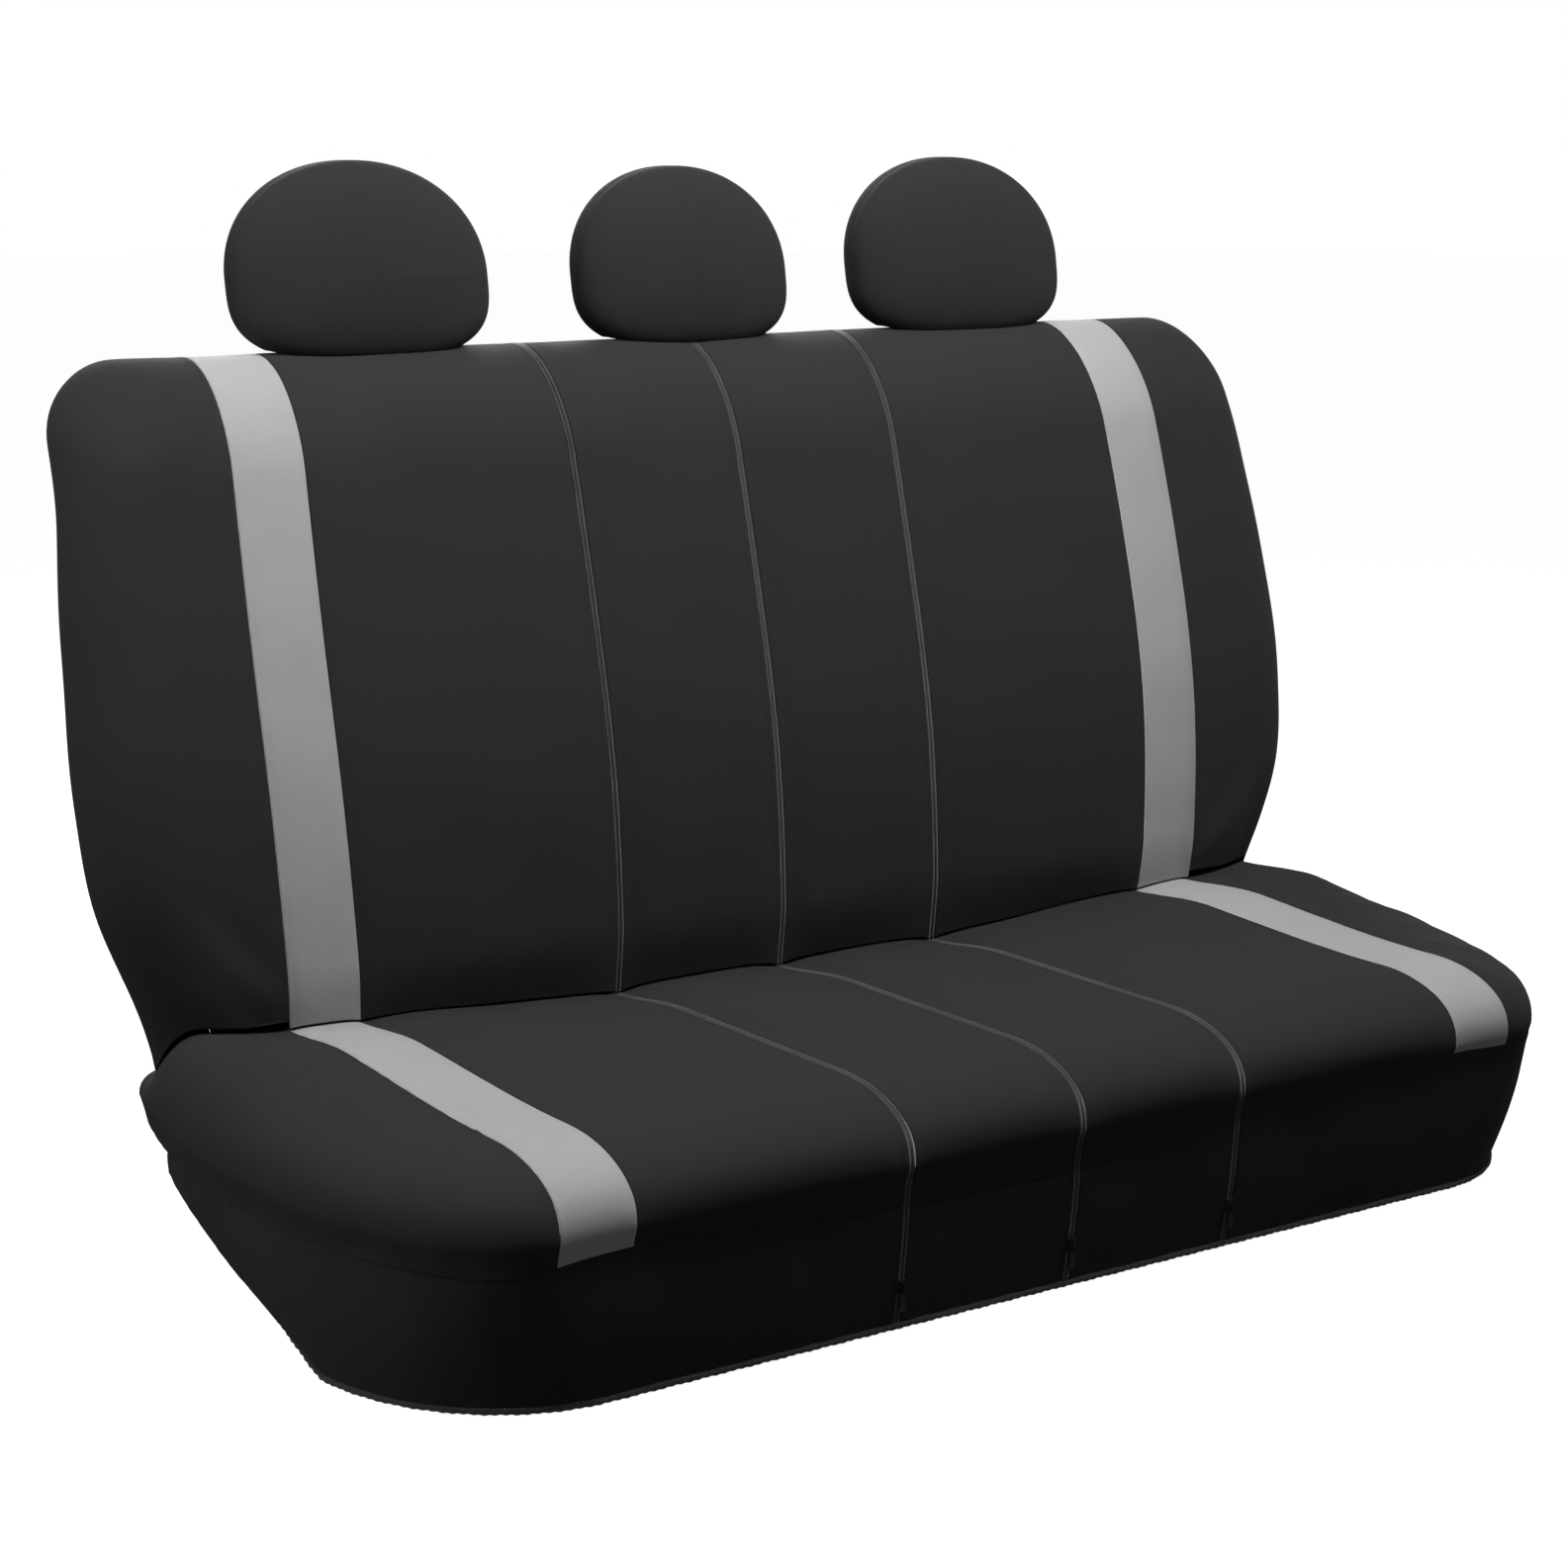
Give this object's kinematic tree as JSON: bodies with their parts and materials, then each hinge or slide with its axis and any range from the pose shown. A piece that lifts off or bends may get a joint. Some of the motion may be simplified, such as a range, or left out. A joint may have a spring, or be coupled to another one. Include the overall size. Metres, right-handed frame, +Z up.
{
  "type": "bench seat cover set",
  "caption": "Fitted cloth cover set for a rear bench seat: split zip-joined back, cushion cover with skirt and slip-on headrest covers.",
  "frame": {"origin": "middle of the base of the whole set, on the surface that the skirt's hem stands on", "axes": "+Z up, the front of the seat faces -Y, +X to the viewer's right when looking at the front"},
  "size_m": [1.3804, 0.694, 0.968],
  "materials": {
    "black_cloth": "matt foam-backed flat cloth",
    "grey_cloth": "matt foam-backed flat cloth",
    "lining_cloth": "thin knitted lining",
    "zip_tape": "woven tape with a nylon coil",
    "zip_metal": "black lacquer",
    "elastic": "woven elastic",
    "hook_plastic": "moulded"
  },
  "bodies": {
    "cushion_cover": {"cushion_mid_left": "black_cloth", "cushion_main_left": "black_cloth", "cushion_stripe_left": "grey_cloth", "cushion_outer_left": "black_cloth", "skirt_outer_left": "black_cloth", "skirt_mid_left": "black_cloth", "strap_left": "elastic", "strap_hook_left": "hook_plastic", "cushion_mid_right": "black_cloth", "cushion_main_right": "black_cloth", "cushion_stripe_right": "grey_cloth", "cushion_outer_right": "black_cloth", "skirt_outer_right": "black_cloth", "skirt_mid_right": "black_cloth", "strap_right": "elastic", "strap_hook_right": "hook_plastic", "cushion_rear_panel": "lining_cloth", "hem_elastic": "elastic", "cushion_zip_left": "zip_tape", "cushion_zip_centre": "zip_tape", "cushion_zip_right": "zip_tape"},
    "back_left": {"back_main_left": "black_cloth", "back_stripe_left": "grey_cloth", "back_outer_left": "black_cloth", "back_rear_left": "lining_cloth", "back_side_flap_left": "lining_cloth", "back_side_zip_left": "zip_tape"},
    "back_right": {"back_main_right": "black_cloth", "back_stripe_right": "grey_cloth", "back_outer_right": "black_cloth", "back_rear_right": "lining_cloth", "back_side_flap_right": "lining_cloth", "back_side_zip_right": "zip_tape"},
    "back_centre": {"back_mid_left": "black_cloth", "back_rear_mid_left": "lining_cloth", "back_centre_flap_left": "lining_cloth", "back_centre_zip_left": "zip_tape", "back_mid_right": "black_cloth", "back_rear_mid_right": "lining_cloth", "back_centre_flap_right": "lining_cloth", "back_centre_zip_right": "zip_tape", "back_zip_centre": "zip_tape"},
    "headrest_left": {"headrest_front_left": "black_cloth", "headrest_rear_left": "black_cloth"},
    "headrest_centre": {"headrest_front_centre": "black_cloth", "headrest_rear_centre": "black_cloth"},
    "headrest_right": {"headrest_front_right": "black_cloth", "headrest_rear_right": "black_cloth"},
    "back_zip_slider_left": {"back_zip_left_slider": "zip_metal"},
    "back_zip_pull_left": {"back_zip_left_pull": "zip_metal"},
    "back_zip_slider_centre": {"back_zip_centre_slider": "zip_metal"},
    "back_zip_pull_centre": {"back_zip_centre_pull": "zip_metal"},
    "back_zip_slider_right": {"back_zip_right_slider": "zip_metal"},
    "back_zip_pull_right": {"back_zip_right_pull": "zip_metal"},
    "cushion_zip_slider_left": {"cushion_zip_left_slider": "zip_metal"},
    "cushion_zip_pull_left": {"cushion_zip_left_pull": "zip_metal"},
    "cushion_zip_slider_centre": {"cushion_zip_centre_slider": "zip_metal"},
    "cushion_zip_pull_centre": {"cushion_zip_centre_pull": "zip_metal"},
    "cushion_zip_slider_right": {"cushion_zip_right_slider": "zip_metal"},
    "cushion_zip_pull_right": {"cushion_zip_right_pull": "zip_metal"}
  },
  "joints": [
    {"name": "back_left_fold", "type": "hinge", "parent": "cushion_cover", "child": "back_left", "pos_m": [0, 0.1196, 0.24], "axis": [1, 0, 0], "range_deg": [0, 85]},
    {"name": "back_centre_fold", "type": "hinge", "parent": "cushion_cover", "child": "back_centre", "pos_m": [0, 0.1196, 0.24], "axis": [1, 0, 0], "range_deg": [0, 85]},
    {"name": "back_right_fold", "type": "hinge", "parent": "cushion_cover", "child": "back_right", "pos_m": [0, 0.1196, 0.24], "axis": [1, 0, 0], "range_deg": [0, 85]},
    {"name": "headrest_left_lift", "type": "slide", "parent": "back_left", "child": "headrest_left", "axis": [0, 0.1564, 0.9877], "range_m": [0, 0.08]},
    {"name": "headrest_centre_lift", "type": "slide", "parent": "back_centre", "child": "headrest_centre", "axis": [0, 0.1564, 0.9877], "range_m": [0, 0.08]},
    {"name": "headrest_right_lift", "type": "slide", "parent": "back_right", "child": "headrest_right", "axis": [0, 0.1564, 0.9877], "range_m": [0, 0.08]},
    {"name": "back_zip_left_run", "type": "slide", "parent": "back_centre", "child": "back_zip_slider_left", "axis": [0, 0.1783, 0.984], "range_m": [0, 0.5]},
    {"name": "back_zip_left_pull_swing", "type": "hinge", "parent": "back_zip_slider_left", "child": "back_zip_pull_left", "pos_m": [-0.1802, 0.25148, 0.19919], "axis": [1, 0, 0], "range_deg": [-9, 150]},
    {"name": "back_zip_centre_run", "type": "slide", "parent": "back_centre", "child": "back_zip_slider_centre", "axis": [0, 0.1783, 0.984], "range_m": [0, 0.5]},
    {"name": "back_zip_centre_pull_swing", "type": "hinge", "parent": "back_zip_slider_centre", "child": "back_zip_pull_centre", "pos_m": [0, 0.25148, 0.19919], "axis": [1, 0, 0], "range_deg": [-9, 150]},
    {"name": "back_zip_right_run", "type": "slide", "parent": "back_centre", "child": "back_zip_slider_right", "axis": [0, 0.1783, 0.984], "range_m": [0, 0.5]},
    {"name": "back_zip_right_pull_swing", "type": "hinge", "parent": "back_zip_slider_right", "child": "back_zip_pull_right", "pos_m": [0.1802, 0.25148, 0.19919], "axis": [1, 0, 0], "range_deg": [-9, 150]},
    {"name": "cushion_zip_left_run", "type": "slide", "parent": "cushion_cover", "child": "cushion_zip_slider_left", "axis": [0, -0.1283, 0.9917], "range_m": [0, 0.07]},
    {"name": "cushion_zip_left_pull_swing", "type": "hinge", "parent": "cushion_zip_slider_left", "child": "cushion_zip_pull_left", "pos_m": [-0.185, -0.33253, 0.04142], "axis": [-1, 0, 0], "range_deg": [-6, 150]},
    {"name": "cushion_zip_centre_run", "type": "slide", "parent": "cushion_cover", "child": "cushion_zip_slider_centre", "axis": [0, -0.1283, 0.9917], "range_m": [0, 0.07]},
    {"name": "cushion_zip_centre_pull_swing", "type": "hinge", "parent": "cushion_zip_slider_centre", "child": "cushion_zip_pull_centre", "pos_m": [0, -0.33253, 0.04142], "axis": [-1, 0, 0], "range_deg": [-6, 150]},
    {"name": "cushion_zip_right_run", "type": "slide", "parent": "cushion_cover", "child": "cushion_zip_slider_right", "axis": [0, -0.1283, 0.9917], "range_m": [0, 0.07]},
    {"name": "cushion_zip_right_pull_swing", "type": "hinge", "parent": "cushion_zip_slider_right", "child": "cushion_zip_pull_right", "pos_m": [0.185, -0.33253, 0.04142], "axis": [-1, 0, 0], "range_deg": [-6, 150]}
  ]
}
